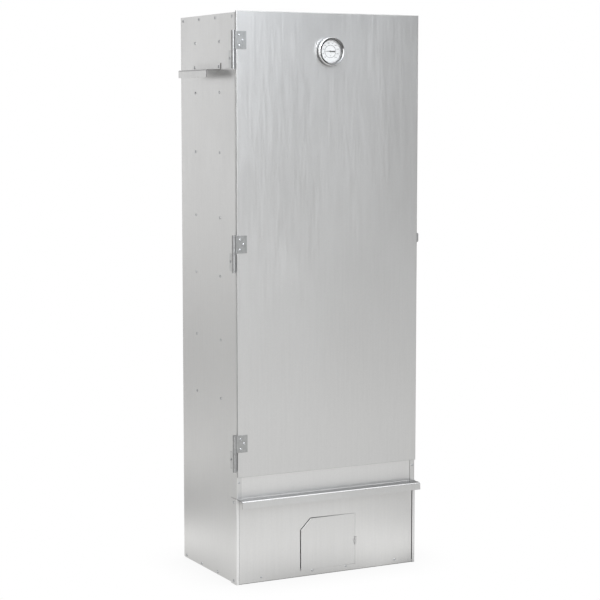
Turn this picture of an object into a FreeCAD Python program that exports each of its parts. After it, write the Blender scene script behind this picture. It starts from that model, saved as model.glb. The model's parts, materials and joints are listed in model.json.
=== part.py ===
"""Electric cabinet smoker: a tall sheet-metal cabinet with a lift-off door over a burner drawer.

Millimetres. Origin on the floor under the middle of the body, +Z up.
The front faces -Y, +X is to the right of someone who faces the door, and the hinges are on the left.
"""
import FreeCAD, Part
import math
import os

V = FreeCAD.Vector
X_AXIS = V(1, 0, 0)
Y_AXIS = V(0, 1, 0)
Z_AXIS = V(0, 0, 1)

# ---- driving dimensions ------------------------------------------------------------------
BODY_W = 440.0
BODY_D = 280.0
BODY_H = 1212.0
SHEET = 1.0
BEND = 1.0                      # inside radius of a sheet bend
FLANGE = 12.0                   # width of the side panels' turned-in edges
SIDE_FOOT = 2.5                 # height of the side panels' lower edge
FIT = 0.06                      # radial clearance of a turning fit
NUDGE = 1.1                     # how far inner sheets stay out of a bend's rounded corner

HALF_W = BODY_W / 2
FRONT = -BODY_D / 2
BACK = BODY_D / 2
INNER_X = HALF_W - SHEET

# rivets
SHANK_R = 1.6
HOLE_R = 1.65
HEAD_R = 3.1
HEAD_H = 1.2
TAIL_R = 2.3
TAIL_H = 1.2

# rail levels, lowest first: the drip tray, three racks, three sets of hanging rods
LEVELS = [393.0, 520.0, 657.0, 782.0, 920.0, 1047.0, 1154.0]
TRAY_LEVEL = 0
RACK_LEVELS = [1, 2, 3]
ROD_LEVELS = [4, 5, 6]
RAIL_Y = 118.0                  # half length of a rail
RAIL_RIVET_Y = 62.0
RAIL_SHELF = 15.0               # width of a rail's shelf
RAIL_DROP = 7.0                 # from a rail's rivet down to its shelf's top

EDGE_RIVET_Y = [-125.0, -41.5, 41.5, 125.0]
TOP_RIVET_Z = BODY_H - 8.0
BOTTOM_RIVET_Z = 7.0
BACK_RIVET_Z = [60.0, 280.0, 500.0, 720.0, 940.0, 1160.0]
BACK_RIVET_X = 213.0
FRONT_RIVET_X = 214.0           # the front rail's rivets
FRONT_RIVET_Z = 222.0
CORNER_RIVET_Y = -127.0
CORNER_RIVET_DROP = 9.0

# door
DOOR_LEFT = -219.0
DOOR_RIGHT = 220.0
DOOR_BOTTOM = 234.0
DOOR_TOP = 1215.0
DOOR_FACE = -144.0
DOOR_BACK = -140.3
DOOR_ROUND = 1.2
LINER_X = 198.0
LINER_BOTTOM = 268.0
LINER_TOP = 1188.0
LINER_Y = -132.0

# hinges
HINGE_X = -227.6
HINGE_Y = -146.5
HINGE_GAPS = [287.0, 710.5, 1135.0]
KNUCKLE_R = 4.25
PIN_R = 2.5
LEAF_T = 1.5
LEAF_H = 38.0
LEAF_RIVETS = [(15.3, 8.4), (15.3, 29.5), (23.0, 18.0)]   # from the axis, from the leaf's end
SIDE_LEAF_RIVETS = [(18.0, 8.4), (18.0, 29.5), (30.0, 18.0)]
DOOR_LEAF_W = 31.1
SIDE_LEAF_W = 34.5
SIDE_LEAF_Y = -143.4            # where the side leaf turns the corner towards its knuckle

# thermometer
GAUGE_Z = 1134.0
BEZEL_R = 30.0
BEZEL_FLAT_R = 28.7             # from here a cone slopes in towards the lens
BEZEL_INNER_R = 24.8
BEZEL_SLOPE = 2.1               # depth of that cone
BEZEL_FACE = -157.0
LENS_BACK = -151.0
LENS_T = 1.2
DIAL_R = 24.6
DIAL_FACE = -148.0
NEEDLE_BACK = -148.8
NEEDLE_T = 0.5
POINTER_L = 15.5
TAIL_L = 10.5
SPINDLE_R = 0.75
STEM_END = -104.0
STEM_R = 6.0

# latch on the right side
LATCH_Z = 740.0
LATCH_Y = -115.0
KEEPER_Z = 731.0
KEEPER_H = 20.5
KEEPER_TIP = 224.2
KEEPER_CUT = 2.5                # its cut-off corners
HOOK_X = HALF_W + 1.6           # inner face of the swivelling hook
HOOK_T = 2.0

# lower front
RAIL_TOP = 262.0
RAIL_FOOT = 180.0               # the rail reaches down behind the drawer front
LEDGE_TOP = 187.0
LEDGE_REACH = 27.0
LIP_H = 16.0
LIP_LEAN = 1.0                  # how far the lip's lower edge stands out
LEDGE_BEND = 1.8                # inside radius of the ledge's bends
DRAWER_FACE = -141.3
PLATE_LEFT = -214.7
PLATE_RIGHT = 211.9
PLATE_FOOT = 2.0
LOW_FLANGE = 5.0                # width of the side panels' front edges beside the drawer
LOW_FLANGE_FOOT = 7.0
STRIP_LEFT = 215.0              # inner edges of the lower corners' front strips
STRIP_RIGHT = 214.3
TRAY_X = 180.0
TRAY_BACK = 120.0
CHEEK_TOP = 78.0
DRAWER_RIVET_Z = 11.4

# air flap in the drawer front, hinged at its right edge and left slightly ajar
FLAP_LEFT = -67.5
FLAP_RIGHT = 67.5
FLAP_FOOT = 14.6
FLAP_TOP = 128.0
FLAP_CHAMFER = 24.0
FLAP_AJAR = 0.9                 # degrees
FLAP_GAP = 1.3
FLAP_GAP_RIGHT = 0.25           # the upper gap narrows towards the hinge
FLAP_GAP_FOOT = 0.35
FLAP_STOP_TOP = 20.0            # the tray's front flange stops the flap's lower edge
FLAP_AXIS_X = 68.0
FLAP_AXIS_Y = -143.1
FLAP_HINGE_Z = 66.0
FLAP_HINGE_HALF = 8.5
FLAP_MIDDLE_HALF = 2.8          # half length of the middle knuckle
FLAP_KNUCKLE_R = 1.6
FLAP_PIN_R = 0.8
FLAP_LEAF_W = 4.6
FLAP_LEAF_T = 0.6
DRAWER_RIVET_X = [-163.0, -38.5, 44.5, 169.0]

# side handles
HANDLE_T = 1.5
HANDLE_REACH = 34.0
HANDLE_FRONT = -70.0
HANDLE_BACK = 75.0
HANDLE_TOP = 1109.0
HANDLE_SHELF = 1094.0
HANDLE_TIP = 1079.0
HANDLE_RIVET_Z = 1101.5

# heating element and its terminals
ELEMENT_X = 60.0
ELEMENT_Z = 45.0
ELEMENT_R = 4.25
COVER_X = 90.0
COVER_Z = (16.0, 90.0)
COVER_DEPTH = 36.0

# vent
VENT_Y = 20.0
VENT_RING_R = 30.0
VENT_HOLE_R = 7.0
DAMPER_R = 48.0
VENT_HOLES = 6


# ---- helpers -----------------------------------------------------------------------------
def box(x0, x1, y0, y1, z0, z1):
    return Part.makeBox(x1 - x0, y1 - y0, z1 - z0, V(x0, y0, z0))


def rod(start, axis, radius, length):
    return Part.makeCylinder(radius, length, start, axis)


def fuse(shapes):
    joined = shapes[0].multiFuse(shapes[1:])
    return joined.removeSplitter()


def to_space(plane, a, b, along):
    """A flat point (a, b) in space, where 'plane' names the axis that the profile is pushed along."""
    places = {"x": V(along, a, b), "y": V(a, along, b), "z": V(a, b, along)}
    return places[plane]


def push(face, plane, length):
    directions = {"x": X_AXIS, "y": Y_AXIS, "z": Z_AXIS}
    return face.extrude(directions[plane] * length)


def outline(points, plane, start, length):
    """A straight-sided outline, pushed along an axis."""
    corners = [to_space(plane, a, b, start) for a, b in points]
    corners.append(corners[0])
    return push(Part.Face(Part.makePolygon(corners)), plane, length)


def bend_points(before, corner, after, radius):
    """Where a bend starts, its middle and its end, each with the sheet's left-hand normal."""
    run_in = V(corner[0] - before[0], corner[1] - before[1], 0).normalize()
    run_out = V(after[0] - corner[0], after[1] - corner[1], 0).normalize()
    half = run_in.getAngle(run_out) / 2
    reach = radius * math.tan(half)
    centre_dir = (run_out - run_in).normalize()
    knee = V(corner[0], corner[1], 0)
    middle = knee + centre_dir * (radius / math.cos(half) - radius)
    normal_in = V(-run_in.y, run_in.x, 0)
    normal_out = V(-run_out.y, run_out.x, 0)
    normal_mid = (normal_in + normal_out).normalize()
    return [(knee - run_in * reach, normal_in), (middle, normal_mid), (knee + run_out * reach, normal_out)]


def folded_sheet(path, plane, start, end, thickness=SHEET, bend=BEND):
    """A bent sheet whose mid-line is 'path', with round bends, pushed from start to end."""
    radius = bend + thickness / 2
    first_run = V(path[1][0] - path[0][0], path[1][1] - path[0][1], 0).normalize()
    last_run = V(path[-1][0] - path[-2][0], path[-1][1] - path[-2][1], 0).normalize()
    stations = [(V(path[0][0], path[0][1], 0), V(-first_run.y, first_run.x, 0))]
    for before, corner, after in zip(path, path[1:], path[2:]):
        stations.extend(bend_points(before, corner, after, radius))
    stations.append((V(path[-1][0], path[-1][1], 0), V(-last_run.y, last_run.x, 0)))

    def side(sign):
        offsets = [point + normal * (sign * thickness / 2) for point, normal in stations]
        return [to_space(plane, point.x, point.y, start) for point in offsets]

    def edges(points):
        made = [Part.LineSegment(points[0], points[1]).toShape()]
        for index in range(1, len(points) - 1, 3):
            made.append(Part.Arc(points[index], points[index + 1], points[index + 2]).toShape())
            made.append(Part.LineSegment(points[index + 2], points[index + 3]).toShape())
        return made

    near = side(1)
    far = side(-1)
    caps = [Part.LineSegment(near[-1], far[-1]).toShape(), Part.LineSegment(near[0], far[0]).toShape()]
    wire = Part.Wire(Part.__sortEdges__(edges(near) + edges(far) + caps))
    return push(Part.Face(wire), plane, end - start)


def pan(x0, x1, y0, y1, z0, z1, wall=SHEET, corner=4.0):
    """An open tray with rounded upright corners."""
    outside = round_upright(box(x0, x1, y0, y1, z0, z1), corner)
    inside = round_upright(box(x0 + wall, x1 - wall, y0 + wall, y1 - wall, z0 + wall, z1 + 1), corner - wall)
    return outside.cut(inside)


def round_upright(shape, radius):
    return round_edges(shape, radius, Z_AXIS)


def round_edges(shape, radius, axis):
    chosen = [edge for edge in shape.Edges if abs(edge.tangentAt(edge.FirstParameter).dot(axis)) > 0.999]
    return shape.makeFillet(radius, chosen)


def rivet(point, outward, grip, head_r=HEAD_R):
    """A blind rivet: domed head on the outside, shank through the sheets, set end inside."""
    head = Part.makeCylinder(head_r, HEAD_H)
    crown = [edge for edge in head.Edges if edge.CenterOfMass.z > HEAD_H - 0.01]
    head = head.makeFillet(HEAD_H * 0.7, crown)
    shank = Part.makeCylinder(SHANK_R, grip, V(0, 0, -grip))
    tail = Part.makeCylinder(TAIL_R, TAIL_H, V(0, 0, -grip - TAIL_H))
    shape = fuse([head, shank, tail])
    shape.Placement = FreeCAD.Placement(point, FreeCAD.Rotation(Z_AXIS, outward))
    return shape


def rivet_holes(points, outward, depth=8.0):
    return [rod(point + outward * 2, outward * -1, HOLE_R, depth) for point in points]


def group(shapes):
    return Part.makeCompound(shapes)


# ---- where the rivets are ----------------------------------------------------------------
def rail_rivet_points(x):
    return [V(x, y, z) for z in LEVELS for y in (-RAIL_RIVET_Y, RAIL_RIVET_Y)]


def top_rivet_points(x):
    return [V(x, y, TOP_RIVET_Z) for y in EDGE_RIVET_Y]


def bottom_rivet_points(x):
    return [V(x, y, BOTTOM_RIVET_Z) for y in EDGE_RIVET_Y]


def handle_rivet_points(x):
    return [V(x, y, HANDLE_RIVET_Z) for y in (-RAIL_RIVET_Y, RAIL_RIVET_Y)]


def corner_rivet_point(x):
    return V(x, CORNER_RIVET_Y, LEDGE_TOP - CORNER_RIVET_DROP)


def hinge_side_points(gap):
    x = -HALF_W - LEAF_T
    return [V(x, HINGE_Y + out, gap - drop) for out, drop in SIDE_LEAF_RIVETS]


def hinge_door_points(gap):
    y = DOOR_FACE - LEAF_T
    top = gap + LEAF_H
    return [V(HINGE_X + out, y, top - drop) for out, drop in LEAF_RIVETS]


def rail_panel_rivet_points():
    return [V(x, FRONT, FRONT_RIVET_Z) for x in (-FRONT_RIVET_X, FRONT_RIVET_X)]


def back_rivet_points():
    return [V(x, BACK, z) for z in BACK_RIVET_Z for x in (-BACK_RIVET_X, BACK_RIVET_X)]


def latch_rivet_points():
    return [V(HALF_W + LEAF_T, LATCH_Y + step, LATCH_Z - 10.0) for step in (-6.0, 6.0)]


def drawer_rivet_points():
    return [V(x, DRAWER_FACE, DRAWER_RIVET_Z) for x in DRAWER_RIVET_X]


def cover_screw_points():
    return [V(x, BACK, z) for x in (-COVER_X - 6.0, COVER_X + 6.0) for z in (30.0, 76.0)]


OUT_LEFT = V(-1, 0, 0)
OUT_RIGHT = V(1, 0, 0)
OUT_FRONT = V(0, -1, 0)
OUT_BACK = V(0, 1, 0)


# ---- cabinet shell -----------------------------------------------------------------------
def side_panel(sign):
    web = sign * (HALF_W - SHEET / 2)
    tip = sign * (HALF_W - FLANGE)
    front = FRONT + SHEET / 2
    back = BACK - SHEET / 2
    panel = folded_sheet([(tip, front), (web, front), (web, back), (tip, back)], "z", SIDE_FOOT, BODY_H)
    outward = V(sign, 0, 0)
    face = sign * HALF_W
    points = rail_rivet_points(face) + top_rivet_points(face) + bottom_rivet_points(face)
    points += handle_rivet_points(face) + [corner_rivet_point(face)]
    if sign < 0:
        for gap in HINGE_GAPS:
            points += hinge_side_points(gap)
    else:
        points += latch_rivet_points()
    tools = rivet_holes(points, outward)
    strip = [sign * (HALF_W - FLANGE - 1), sign * (HALF_W - LOW_FLANGE)]
    tools.append(box(min(strip), max(strip), FRONT - 1, FRONT + 2, LOW_FLANGE_FOOT, RAIL_FOOT + 4))
    tools += rivet_holes([p for p in rail_panel_rivet_points() if p.x * sign > 0], OUT_FRONT)
    tools += rivet_holes([p for p in back_rivet_points() if p.x * sign > 0], OUT_BACK)
    if sign > 0:
        tools.append(rod(V(HALF_W - 2, LATCH_Y, LATCH_Z), X_AXIS, PIN_R, 4))
    return panel.cut(tools)


def back_panel():
    limit = INNER_X - NUDGE
    panel = box(-limit, limit, BACK - 2 * SHEET, BACK - SHEET, 1.2, BODY_H - 1.2)
    tools = rivet_holes(back_rivet_points(), OUT_BACK)
    tools += rivet_holes(cover_screw_points(), OUT_BACK)
    for x in (-ELEMENT_X, ELEMENT_X):
        tools.append(rod(V(x, BACK - 4, ELEMENT_Z), Y_AXIS, ELEMENT_R + 0.3, 6))
    return panel.cut(tools)


def vent_holes(z, depth):
    holes = []
    for index in range(VENT_HOLES):
        angle = 2 * math.pi * index / VENT_HOLES
        centre = V(VENT_RING_R * math.cos(angle), VENT_Y + VENT_RING_R * math.sin(angle), z)
        holes.append(rod(centre, Z_AXIS, VENT_HOLE_R, depth))
    return holes


def top_panel():
    limit = INNER_X - SHEET / 2
    level = BODY_H - SHEET / 2
    hem = BODY_H - 16.0
    end = BACK - 2 * SHEET - 0.1
    path = [(-limit, hem), (-limit, level), (limit, level), (limit, hem)]
    sheet = folded_sheet(path, "y", FRONT + 2.1, end)
    gap = HALF_W - FLANGE - 1.0
    lintel_top = box(-gap, gap, FRONT + SHEET, FRONT + 10, BODY_H - SHEET, BODY_H)
    lintel = box(-gap, gap, FRONT + SHEET, FRONT + 2 * SHEET, hem, BODY_H)
    rear = box(-gap, gap, end - SHEET, end, hem, BODY_H)
    panel = fuse([sheet, lintel_top, lintel, rear])
    tools = rivet_holes(top_rivet_points(-HALF_W), OUT_LEFT)
    tools += rivet_holes(top_rivet_points(HALF_W), OUT_RIGHT)
    tools += vent_holes(BODY_H - 3, 5)
    tools.append(rod(V(0, VENT_Y, BODY_H - 3), Z_AXIS, 3.0, 5))
    return panel.cut(tools)


def bottom_panel():
    limit = INNER_X - SHEET / 2
    level = SHEET / 2
    hem = 16.0
    end = BACK - 2 * SHEET - 0.1
    path = [(-limit, hem), (-limit, level), (limit, level), (limit, hem)]
    sheet = folded_sheet(path, "y", FRONT + 2.1, end)
    rear = box(-200, 200, end - SHEET, end, 0, hem)
    panel = fuse([sheet, rear])
    tools = rivet_holes(bottom_rivet_points(-HALF_W), OUT_LEFT)
    tools += rivet_holes(bottom_rivet_points(HALF_W), OUT_RIGHT)
    return panel.cut(tools)


def front_rail():
    limit = INNER_X - NUDGE
    face = FRONT + 1.5 * SHEET
    path = [(face + 9, RAIL_FOOT), (face, RAIL_FOOT), (face, RAIL_TOP - 0.5), (face + 10, RAIL_TOP - 0.5)]
    panel = folded_sheet(path, "x", -limit, limit)
    return panel.cut(rivet_holes(rail_panel_rivet_points(), OUT_FRONT))


def lower_corner(sign, strip_edge):
    """An angle that wraps a lower front corner: a foot, and a guide for the drawer front."""
    web = sign * (HALF_W + SHEET / 2)
    front = FRONT - SHEET / 2
    angle = folded_sheet([(web, FRONT + 27), (web, front), (sign * strip_edge, front)], "z", 0, LEDGE_TOP)
    face = sign * (HALF_W + SHEET)
    points = [corner_rivet_point(face), V(face, EDGE_RIVET_Y[0], BOTTOM_RIVET_Z)]
    return angle.cut(rivet_holes(points, V(sign, 0, 0)))


def side_handle(sign):
    near = sign * (HALF_W + HANDLE_T / 2)
    far = sign * (HALF_W + HANDLE_REACH - HANDLE_T / 2)
    shelf = HANDLE_SHELF + HANDLE_T / 2
    path = [(near, HANDLE_TOP), (near, shelf), (far, shelf), (far, HANDLE_TIP)]
    handle = folded_sheet(path, "y", HANDLE_FRONT, HANDLE_BACK, HANDLE_T, 1.5)
    return handle.cut(rivet_holes(handle_rivet_points(sign * (HALF_W + HANDLE_T)), V(sign, 0, 0)))


# ---- inside ------------------------------------------------------------------------------
def rail_pair(z):
    rails = []
    for sign in (-1, 1):
        web = sign * (INNER_X - SHEET / 2)
        shelf = z - RAIL_DROP - SHEET / 2
        path = [(web, z + 8), (web, shelf), (sign * (INNER_X - RAIL_SHELF), shelf)]
        rail = folded_sheet(path, "y", -RAIL_Y, RAIL_Y)
        points = [V(sign * HALF_W, y, z) for y in (-RAIL_RIVET_Y, RAIL_RIVET_Y)]
        rails.append(rail.cut(rivet_holes(points, V(sign, 0, 0))))
    return group(rails)


def rack(z):
    """A welded wire grid that lies on a pair of rails."""
    frame_r = 2.5
    wire_r = 1.5
    half_x = 211.0
    half_y = 112.0
    corner = 12.0
    level = z - RAIL_DROP + frame_r
    loop_points = [(-half_x, -half_y), (half_x, -half_y), (half_x, half_y), (-half_x, half_y)]
    pieces = []
    for sign in (-1, 1):
        pieces.append(rod(V(-half_x + corner, sign * half_y, level), X_AXIS, frame_r, 2 * (half_x - corner)))
        pieces.append(rod(V(sign * half_x, -half_y + corner, level), Y_AXIS, frame_r, 2 * (half_y - corner)))
    for index, (x, y) in enumerate(loop_points):
        centre = V(x - math.copysign(corner, x), y - math.copysign(corner, y), level)
        start = [180, 270, 0, 90][index]
        elbow = Part.makeTorus(corner, frame_r, V(0, 0, 0), Z_AXIS, 0, 360, 90)
        elbow.Placement = FreeCAD.Placement(centre, FreeCAD.Rotation(Z_AXIS, start))
        pieces.append(elbow)
    wires = 24
    pitch = 2 * half_x / (wires + 1)
    for index in range(wires):
        x = -half_x + pitch * (index + 1)
        pieces.append(rod(V(x, -half_y, level), Y_AXIS, wire_r, 2 * half_y))
    for y in (-37.0, 37.0):
        pieces.append(rod(V(-half_x, y, level), X_AXIS, wire_r + 0.4, 2 * half_x))
    return fuse(pieces)


def hanging_rods(z):
    radius = 4.0
    level = z - RAIL_DROP + radius
    rods = []
    for y in (-74.0, 0.0, 74.0):
        bar = rod(V(-215, y, level), X_AXIS, radius, 430)
        ends = [edge for edge in bar.Edges if edge.Closed]
        rods.append(bar.makeChamfer(0.8, ends))
    return group(rods)


def drip_tray():
    z = LEVELS[TRAY_LEVEL] - RAIL_DROP
    return pan(-209, 209, -112, 112, z, z + 22, corner=5.0)


def heating_element():
    front = -55.0
    tip = BACK + 8.0
    pieces = []
    for sign in (-1, 1):
        x = sign * ELEMENT_X
        pieces.append(rod(V(x, front, ELEMENT_Z), Y_AXIS, ELEMENT_R, tip - front))
        pieces.append(rod(V(x, tip, ELEMENT_Z), Y_AXIS, 2.0, 10.0))
    elbow = Part.makeTorus(ELEMENT_X, ELEMENT_R, V(0, 0, 0), Z_AXIS, 0, 360, 180)
    elbow.Placement = FreeCAD.Placement(V(0, front, ELEMENT_Z), FreeCAD.Rotation(Z_AXIS, 180))
    pieces.append(elbow)
    return fuse(pieces)


def element_flange():
    inner = BACK - 2 * SHEET
    plate = round_edges(box(-82, 82, inner - 3, inner, 24, 66), 8, Y_AXIS)
    tools = [rod(V(x, inner - 5, ELEMENT_Z), Y_AXIS, ELEMENT_R, 8) for x in (-ELEMENT_X, ELEMENT_X)]
    return plate.cut(tools)


def terminal_cover():
    low, high = COVER_Z
    wall = BACK - SHEET
    tub = box(-COVER_X, COVER_X, wall, wall + COVER_DEPTH, low, high)
    tub = tub.makeFillet(4, [e for e in tub.Edges if e.CenterOfMass.y > wall + COVER_DEPTH / 4])
    cavity = box(-COVER_X + 1.2, COVER_X - 1.2, wall - 1, wall + COVER_DEPTH - 1.2, low + 1.2, high - 1.2)
    wings = [box(-COVER_X - 13, -COVER_X + 1, wall, wall + SHEET, low + 4, high - 4),
             box(COVER_X - 1, COVER_X + 13, wall, wall + SHEET, low + 4, high - 4)]
    shell = fuse([tub.cut(cavity)] + [round_edges(wing, 3, Y_AXIS) for wing in wings]).cut(cavity)
    rear = wall + COVER_DEPTH
    window = box(-14, 14, rear - 3, rear + 1, 43, 63)
    holes = [rod(V(x, rear - 3, 53), Y_AXIS, 1.7, 4) for x in (-20, 20)]
    return shell.cut(rivet_holes(cover_screw_points(), OUT_BACK) + [window] + holes)


def power_inlet():
    """A three-pin appliance inlet, held in the terminal cover by its flange."""
    rear = BACK - SHEET + COVER_DEPTH
    flange = round_edges(box(-25, 25, rear, rear + 2.5, 41.5, 64.5), 3, Y_AXIS)
    barrel = box(-13.8, 13.8, rear - 14, rear + 2.5, 43.2, 62.8)
    pocket_outline = [(-12, 45.5), (12, 45.5), (12, 56.5), (7, 60.5), (-7, 60.5), (-12, 56.5)]
    pocket = outline(pocket_outline, "y", rear - 12, 20)
    body = fuse([flange, barrel]).cut(pocket)
    blade_places = ((-7, 50.5), (7, 50.5), (0, 55))
    blades = [box(x - 1, x + 1, rear - 13, rear + 0.5, z - 2, z + 2) for x, z in blade_places]
    screw_holes = [rod(V(x, rear - 1, 53), Y_AXIS, 1.7, 5) for x in (-20, 20)]
    return fuse([body.cut(screw_holes)] + blades)


# ---- hinges ------------------------------------------------------------------------------
def hinge_side_leaf(gap):
    """The lower knuckle, with its leaf bent round the cabinet's corner onto the side panel."""
    low = gap - LEAF_H - 1.5
    knuckle = rod(V(HINGE_X, HINGE_Y, low), Z_AXIS, KNUCKLE_R, gap - 0.25 - low)
    leaf = box(-HALF_W - LEAF_T, -HALF_W, SIDE_LEAF_Y, HINGE_Y + SIDE_LEAF_W, gap - LEAF_H, gap - 1)
    turn = box(HINGE_X, -HALF_W, SIDE_LEAF_Y, SIDE_LEAF_Y + LEAF_T, gap - LEAF_H, gap - 1)
    bore = rod(V(HINGE_X, HINGE_Y, gap - 34), Z_AXIS, PIN_R, 40)
    return fuse([knuckle, leaf, turn]).cut([bore] + rivet_holes(hinge_side_points(gap), OUT_LEFT))


def hinge_door_leaf(gap):
    """The upper knuckle, which lifts off the pin, with its leaf on the door."""
    high = gap + LEAF_H + 1.5
    knuckle = rod(V(HINGE_X, HINGE_Y, gap + 0.25), Z_AXIS, KNUCKLE_R, high - gap - 0.25)
    leaf = box(HINGE_X, HINGE_X + DOOR_LEAF_W, DOOR_FACE - LEAF_T, DOOR_FACE, gap + 1, gap + LEAF_H)
    bore = rod(V(HINGE_X, HINGE_Y, gap - 1), Z_AXIS, PIN_R + FIT, 32)
    return fuse([knuckle, leaf]).cut([bore] + rivet_holes(hinge_door_points(gap), OUT_FRONT))


def hinge_pin(gap):
    pin = rod(V(HINGE_X, HINGE_Y, gap - 34), Z_AXIS, PIN_R, 62)
    tip = [edge for edge in pin.Edges if edge.Closed and edge.CenterOfMass.z > gap]
    return pin.makeChamfer(0.8, tip)


# ---- door --------------------------------------------------------------------------------
def door_skin():
    """A single sheet with its edges folded back, notched where the latch keeper passes."""
    outside = box(DOOR_LEFT, DOOR_RIGHT, DOOR_FACE, DOOR_BACK, DOOR_BOTTOM, DOOR_TOP)
    front_edges = [edge for edge in outside.Edges if edge.CenterOfMass.y < DOOR_FACE + 0.01]
    outside = outside.makeFillet(DOOR_ROUND, front_edges)
    inside = box(DOOR_LEFT + SHEET, DOOR_RIGHT - SHEET, DOOR_FACE + SHEET, DOOR_BACK + 1,
                 DOOR_BOTTOM + SHEET, DOOR_TOP - SHEET)
    half = KEEPER_H / 2 + 1
    notch = box(DOOR_RIGHT - 2, DOOR_RIGHT + 1, DOOR_FACE + SHEET, DOOR_BACK + 1,
                KEEPER_Z - half, KEEPER_Z + half)
    tools = [inside, notch, rod(V(0, DOOR_FACE - 1, GAUGE_Z), Y_AXIS, 6.2, 4)]
    for gap in HINGE_GAPS:
        tools += rivet_holes(hinge_door_points(gap), OUT_FRONT)
    return outside.cut(tools)


def door_liner():
    """A shallow stiffening tray welded behind the skin, which fits inside the cabinet's mouth."""
    face = DOOR_FACE + SHEET
    outside = box(-LINER_X, LINER_X, face, LINER_Y, LINER_BOTTOM, LINER_TOP)
    inner_edges = [edge for edge in outside.Edges if edge.CenterOfMass.y > LINER_Y - 0.01]
    outside = outside.makeFillet(2.5, inner_edges)
    hollow = box(-LINER_X + SHEET, LINER_X - SHEET, face - 1, LINER_Y - SHEET,
                 LINER_BOTTOM + SHEET, LINER_TOP - SHEET)
    stem_hole = rod(V(0, face, GAUGE_Z), Y_AXIS, 6.2, 20)
    return outside.cut([hollow, stem_hole])


def ring_profile(points):
    """A profile of (radius, y) corners, turned about the thermometer's axis."""
    corners = [V(radius, y, GAUGE_Z) for radius, y in points]
    corners.append(corners[0])
    face = Part.Face(Part.makePolygon(corners))
    return face.revolve(V(0, 0, GAUGE_Z), Y_AXIS, 360)


def thermometer_case():
    back = DOOR_FACE
    face = BEZEL_FACE
    lip = LENS_BACK - LENS_T - 0.2
    bore = DIAL_R + 0.1
    floor = back - 2.0
    body = [(STEM_R, back), (BEZEL_R - 3.0, back), (BEZEL_R - 2.5, back - 3.0), (BEZEL_R, back - 4.0)]
    rim = [(BEZEL_R, face + 1.0), (BEZEL_R - 0.3, face + 0.3), (BEZEL_R - 1.0, face), (BEZEL_FLAT_R, face)]
    inside = [(BEZEL_INNER_R, face + BEZEL_SLOPE), (BEZEL_INNER_R, lip), (bore, lip), (bore, floor),
              (STEM_R, floor)]
    return ring_profile(body + rim + inside)


def thermometer_dial():
    card = rod(V(0, DIAL_FACE, GAUGE_Z), Y_AXIS, DIAL_R, 0.4)
    return card.cut(rod(V(0, DIAL_FACE - 1, GAUGE_Z), Y_AXIS, 2 * SPINDLE_R, 2))


def thermometer_lens():
    return rod(V(0, LENS_BACK - LENS_T, GAUGE_Z), Y_AXIS, DIAL_R, LENS_T)


def thermometer_stem():
    boss = rod(V(0, DOOR_FACE - 3.0, GAUGE_Z), Y_AXIS, STEM_R, 21.0)
    probe = rod(V(0, DOOR_FACE, GAUGE_Z), Y_AXIS, 3.2, STEM_END - DOOR_FACE)
    spindle = rod(V(0, NEEDLE_BACK - 0.9, GAUGE_Z), Y_AXIS, SPINDLE_R, 6.0)
    return fuse([boss, probe, spindle])


def hexagon(centre_x, centre_z, across_flats, y, length):
    radius = across_flats / math.sqrt(3)
    corners = []
    for index in range(6):
        angle = math.radians(60 * index)
        corners.append((centre_x + radius * math.cos(angle), centre_z + radius * math.sin(angle)))
    return outline(corners, "y", y, length)


def thermometer_nut():
    return hexagon(0, GAUGE_Z, 19.0, LINER_Y, 5.0).cut(rod(V(0, LINER_Y - 1, GAUGE_Z), Y_AXIS, STEM_R, 8))


def thermometer_needle():
    """A thin tapering pointer, with a thicker tail and a hub that turns on the spindle."""
    front = NEEDLE_BACK - NEEDLE_T
    neck = 0.5
    tail_w = 1.5
    tip_w = 0.15
    root = [(0, GAUGE_Z - neck), (0, GAUGE_Z + neck)]
    pointer = root + [(-POINTER_L, GAUGE_Z + tip_w), (-POINTER_L, GAUGE_Z - tip_w)]
    tail = root + [(TAIL_L, GAUGE_Z + tail_w), (TAIL_L, GAUGE_Z - tail_w)]
    hub = rod(V(0, front - 0.2, GAUGE_Z), Y_AXIS, 1.6, NEEDLE_T + 0.4)
    shape = fuse([outline(pointer, "y", front, NEEDLE_T), outline(tail, "y", front, NEEDLE_T), hub])
    return shape.cut(rod(V(0, front - 2, GAUGE_Z), Y_AXIS, SPINDLE_R + FIT, 6))


# ---- latch -------------------------------------------------------------------------------
def latch_base():
    plate = box(HALF_W, HALF_W + LEAF_T, LATCH_Y - 12, LATCH_Y + 12, LATCH_Z - 16, LATCH_Z + 9)
    plate = round_edges(plate, 3, X_AXIS)
    tools = rivet_holes(latch_rivet_points(), OUT_RIGHT)
    tools.append(rod(V(HALF_W - 1, LATCH_Y, LATCH_Z), X_AXIS, PIN_R, 5))
    return plate.cut(tools)


def latch_pin():
    hook_outside = HOOK_X + HOOK_T + 0.4
    shank = rod(V(INNER_X, LATCH_Y, LATCH_Z), X_AXIS, PIN_R, hook_outside - INNER_X)
    head = rod(V(hook_outside, LATCH_Y, LATCH_Z), X_AXIS, 4.5, 1.4)
    foot = rod(V(INNER_X - 1.2, LATCH_Y, LATCH_Z), X_AXIS, 3.6, 1.2)
    return fuse([shank, head, foot])


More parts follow.
